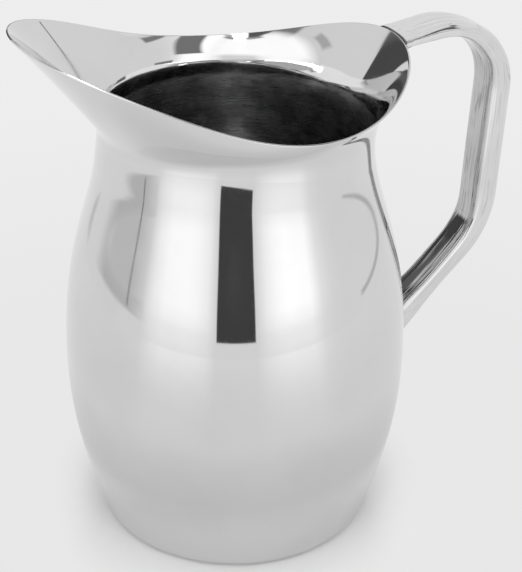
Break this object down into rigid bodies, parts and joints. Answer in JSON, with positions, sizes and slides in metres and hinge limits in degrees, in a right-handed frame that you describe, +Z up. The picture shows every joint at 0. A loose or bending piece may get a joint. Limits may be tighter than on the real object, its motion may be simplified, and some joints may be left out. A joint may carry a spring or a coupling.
{
  "type": "water pitcher",
  "caption": "Polished steel bell pitcher: bulged body, flared mouth drawn out into a pouring spout, and a hollow handle welded from rim to belly.",
  "frame": {"origin": "centre of the base, on the plane that the pitcher stands on", "axes": "+Z up along the body's axis, +X towards the handle, -X towards the spout"},
  "size_m": [0.2008, 0.1336, 0.2113],
  "materials": {
    "polished_steel": "mirror polished stainless steel outside, satin inside",
    "handle_steel": "polished stainless steel",
    "weld_steel": "ground and polished weld metal"
  },
  "bodies": {
    "root": {"body_shell": "polished_steel", "handle": "handle_steel", "upper_weld": "weld_steel", "lower_weld": "weld_steel"}
  },
  "joints": []
}
